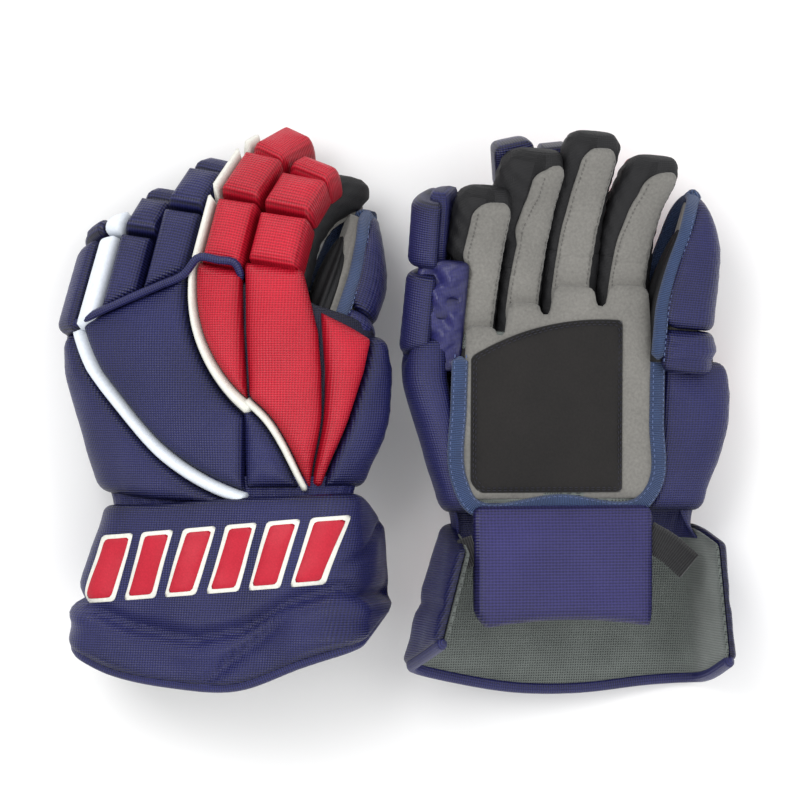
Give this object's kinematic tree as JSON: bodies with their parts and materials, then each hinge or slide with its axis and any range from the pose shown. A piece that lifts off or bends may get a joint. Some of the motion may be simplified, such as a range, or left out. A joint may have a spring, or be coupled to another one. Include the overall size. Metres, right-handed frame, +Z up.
{
  "type": "ice hockey gloves",
  "caption": "Pair of padded ice hockey gloves with foam rolls over the back and fingers, suede palms, thumb shells, flared cuffs and wrist flaps.",
  "frame": {"origin": "on the floor, under the middle of the pair's overall box", "axes": "+X across the pair from the left glove to the right one, +Y from the cuffs to the fingertips, +Z up"},
  "size_m": [0.4236, 0.357, 0.1262],
  "materials": {
    "navy_fabric": "satin woven mesh",
    "red_fabric": "satin woven mesh",
    "white_trim": "smooth synthetic leather",
    "grey_suede": "matt suede",
    "black_palm_patch": "matt nubuck",
    "black_gusset": "stretch nylon",
    "mesh_lining": "dimpled mesh",
    "binding_tape": "ribbed tape",
    "black_elastic": "ribbed elastic"
  },
  "bodies": {
    "left_hand": {"left_roll_little_side": "navy_fabric", "left_roll_centre": "navy_fabric", "left_roll_middle": "red_fabric", "left_roll_index": "red_fabric", "left_roll_thumb_side": "red_fabric", "left_knuckle_cord": "navy_fabric", "left_hand_liner": "mesh_lining", "left_palm": "grey_suede", "left_palm_patch": "black_palm_patch"},
    "left_little_proximal": {"left_little_proximal_roll": "navy_fabric", "left_little_proximal_stall": "grey_suede"},
    "left_little_distal": {"left_little_distal_rolls": "navy_fabric", "left_little_distal_stall": "grey_suede"},
    "left_ring_proximal": {"left_ring_proximal_roll": "navy_fabric", "left_ring_proximal_stall": "grey_suede"},
    "left_ring_distal": {"left_ring_distal_rolls": "navy_fabric", "left_ring_distal_stall": "grey_suede"},
    "left_middle_proximal": {"left_middle_proximal_roll": "red_fabric", "left_middle_proximal_stall": "grey_suede"},
    "left_middle_distal": {"left_middle_distal_rolls": "red_fabric", "left_middle_distal_stall": "grey_suede"},
    "left_index_proximal": {"left_index_proximal_roll": "red_fabric", "left_index_proximal_stall": "grey_suede"},
    "left_index_distal": {"left_index_distal_rolls": "red_fabric", "left_index_distal_stall": "grey_suede"},
    "left_thumb": {"left_thumb_shell": "navy_fabric", "left_thumb_stall": "grey_suede"},
    "left_cuff": {"left_cuff_shell": "navy_fabric"},
    "left_flap": {"left_wrist_flap": "navy_fabric", "left_elastics": "black_elastic"},
    "right_hand": {"right_roll_little_side": "navy_fabric", "right_roll_centre": "navy_fabric", "right_roll_middle": "red_fabric", "right_roll_index": "red_fabric", "right_roll_thumb_side": "red_fabric", "right_knuckle_cord": "navy_fabric", "right_hand_liner": "mesh_lining", "right_palm": "grey_suede", "right_palm_patch": "black_palm_patch"},
    "right_little_proximal": {"right_little_proximal_roll": "navy_fabric", "right_little_proximal_stall": "grey_suede"},
    "right_little_distal": {"right_little_distal_rolls": "navy_fabric", "right_little_distal_stall": "grey_suede"},
    "right_ring_proximal": {"right_ring_proximal_roll": "navy_fabric", "right_ring_proximal_stall": "grey_suede"},
    "right_ring_distal": {"right_ring_distal_rolls": "navy_fabric", "right_ring_distal_stall": "grey_suede"},
    "right_middle_proximal": {"right_middle_proximal_roll": "red_fabric", "right_middle_proximal_stall": "grey_suede"},
    "right_middle_distal": {"right_middle_distal_rolls": "red_fabric", "right_middle_distal_stall": "grey_suede"},
    "right_index_proximal": {"right_index_proximal_roll": "red_fabric", "right_index_proximal_stall": "grey_suede"},
    "right_index_distal": {"right_index_distal_rolls": "red_fabric", "right_index_distal_stall": "grey_suede"},
    "right_thumb": {"right_thumb_shell": "navy_fabric", "right_thumb_stall": "grey_suede"},
    "right_cuff": {"right_cuff_shell": "navy_fabric"},
    "right_flap": {"right_wrist_flap": "navy_fabric", "right_elastics": "black_elastic"}
  },
  "joints": [
    {"name": "left_little_knuckle", "type": "hinge", "parent": "left_hand", "child": "left_little_proximal", "pos_m": [-0.1614, 0.06162, 0.04566], "axis": [-0.9445, 0.1564, -0.2888], "range_deg": [-18, 52]},
    {"name": "left_little_middle_joint", "type": "hinge", "parent": "left_little_proximal", "child": "left_little_distal", "pos_m": [-0.15256, 0.09732, 0.03609], "axis": [-0.9445, 0.1564, -0.2888], "range_deg": [-32, 48]},
    {"name": "left_ring_knuckle", "type": "hinge", "parent": "left_hand", "child": "left_ring_proximal", "pos_m": [-0.13312, 0.07415, 0.05431], "axis": [-0.9445, 0.1564, -0.2888], "range_deg": [-18, 52]},
    {"name": "left_ring_middle_joint", "type": "hinge", "parent": "left_ring_proximal", "child": "left_ring_distal", "pos_m": [-0.12358, 0.11267, 0.04398], "axis": [-0.9445, 0.1564, -0.2888], "range_deg": [-32, 48]},
    {"name": "left_middle_knuckle", "type": "hinge", "parent": "left_hand", "child": "left_middle_proximal", "pos_m": [-0.10071, 0.08195, 0.06422], "axis": [-0.9445, 0.1564, -0.2888], "range_deg": [-18, 52]},
    {"name": "left_middle_middle_joint", "type": "hinge", "parent": "left_middle_proximal", "child": "left_middle_distal", "pos_m": [-0.09117, 0.12046, 0.05389], "axis": [-0.9445, 0.1564, -0.2888], "range_deg": [-32, 48]},
    {"name": "left_index_knuckle", "type": "hinge", "parent": "left_hand", "child": "left_index_proximal", "pos_m": [-0.06673, 0.07936, 0.07461], "axis": [-0.9445, 0.1564, -0.2888], "range_deg": [-18, 52]},
    {"name": "left_index_middle_joint", "type": "hinge", "parent": "left_index_proximal", "child": "left_index_distal", "pos_m": [-0.05906, 0.11035, 0.06629], "axis": [-0.9445, 0.1564, -0.2888], "range_deg": [-32, 48]},
    {"name": "left_thumb_bend", "type": "hinge", "parent": "left_hand", "child": "left_thumb", "pos_m": [-0.04972, 0.05161, 0.07144], "axis": [-0.9445, 0.1564, -0.2888], "range_deg": [-38, 20]},
    {"name": "left_cuff_hinge", "type": "hinge", "parent": "left_hand", "child": "left_cuff", "pos_m": [-0.106, -0.05947, 0.07933], "axis": [0.9563, 0, 0.2924], "range_deg": [-20, 20]},
    {"name": "left_flap_hinge", "type": "hinge", "parent": "left_hand", "child": "left_flap", "pos_m": [-0.10576, -0.05047, 0.04437], "axis": [0.9563, 0, 0.2924], "range_deg": [0, 30]},
    {"name": "right_glove_lift", "type": "slide", "parent": "left_hand", "child": "right_hand", "axis": [0, 0, 1], "range_m": [0, 0.15]},
    {"name": "right_little_knuckle", "type": "hinge", "parent": "right_hand", "child": "right_little_proximal", "pos_m": [0.05353, 0.05207, 0.07559], "axis": [0.9636, -0.0698, -0.2582], "range_deg": [-6, 64]},
    {"name": "right_little_middle_joint", "type": "hinge", "parent": "right_little_proximal", "child": "right_little_distal", "pos_m": [0.0571, 0.08977, 0.07875], "axis": [0.9636, -0.0698, -0.2582], "range_deg": [-10, 70]},
    {"name": "right_ring_knuckle", "type": "hinge", "parent": "right_hand", "child": "right_ring_proximal", "pos_m": [0.08093, 0.06713, 0.06825], "axis": [0.9636, -0.0698, -0.2582], "range_deg": [-6, 64]},
    {"name": "right_ring_middle_joint", "type": "hinge", "parent": "right_ring_proximal", "child": "right_ring_distal", "pos_m": [0.08478, 0.10781, 0.07165], "axis": [0.9636, -0.0698, -0.2582], "range_deg": [-10, 70]},
    {"name": "right_middle_knuckle", "type": "hinge", "parent": "right_hand", "child": "right_middle_proximal", "pos_m": [0.11288, 0.07785, 0.05969], "axis": [0.9636, -0.0698, -0.2582], "range_deg": [-6, 64]},
    {"name": "right_middle_middle_joint", "type": "hinge", "parent": "right_middle_proximal", "child": "right_middle_distal", "pos_m": [0.11674, 0.11853, 0.06309], "axis": [0.9636, -0.0698, -0.2582], "range_deg": [-10, 70]},
    {"name": "right_index_knuckle", "type": "hinge", "parent": "right_hand", "child": "right_index_proximal", "pos_m": [0.14729, 0.07837, 0.05047], "axis": [0.9636, -0.0698, -0.2582], "range_deg": [-6, 64]},
    {"name": "right_index_middle_joint", "type": "hinge", "parent": "right_index_proximal", "child": "right_index_distal", "pos_m": [0.15039, 0.1111, 0.05321], "axis": [0.9636, -0.0698, -0.2582], "range_deg": [-10, 70]},
    {"name": "right_thumb_bend", "type": "hinge", "parent": "right_hand", "child": "right_thumb", "pos_m": [0.16646, 0.05207, 0.05361], "axis": [0.9636, -0.0698, -0.2582], "range_deg": [-12, 46]},
    {"name": "right_cuff_hinge", "type": "hinge", "parent": "right_hand", "child": "right_cuff", "pos_m": [0.1087, -0.06447, 0.04424], "axis": [-0.9659, 0, 0.2588], "range_deg": [-20, 20]},
    {"name": "right_flap_hinge", "type": "hinge", "parent": "right_hand", "child": "right_flap", "pos_m": [0.10772, -0.05547, 0.07919], "axis": [-0.9659, 0, 0.2588], "range_deg": [0, 30]}
  ]
}
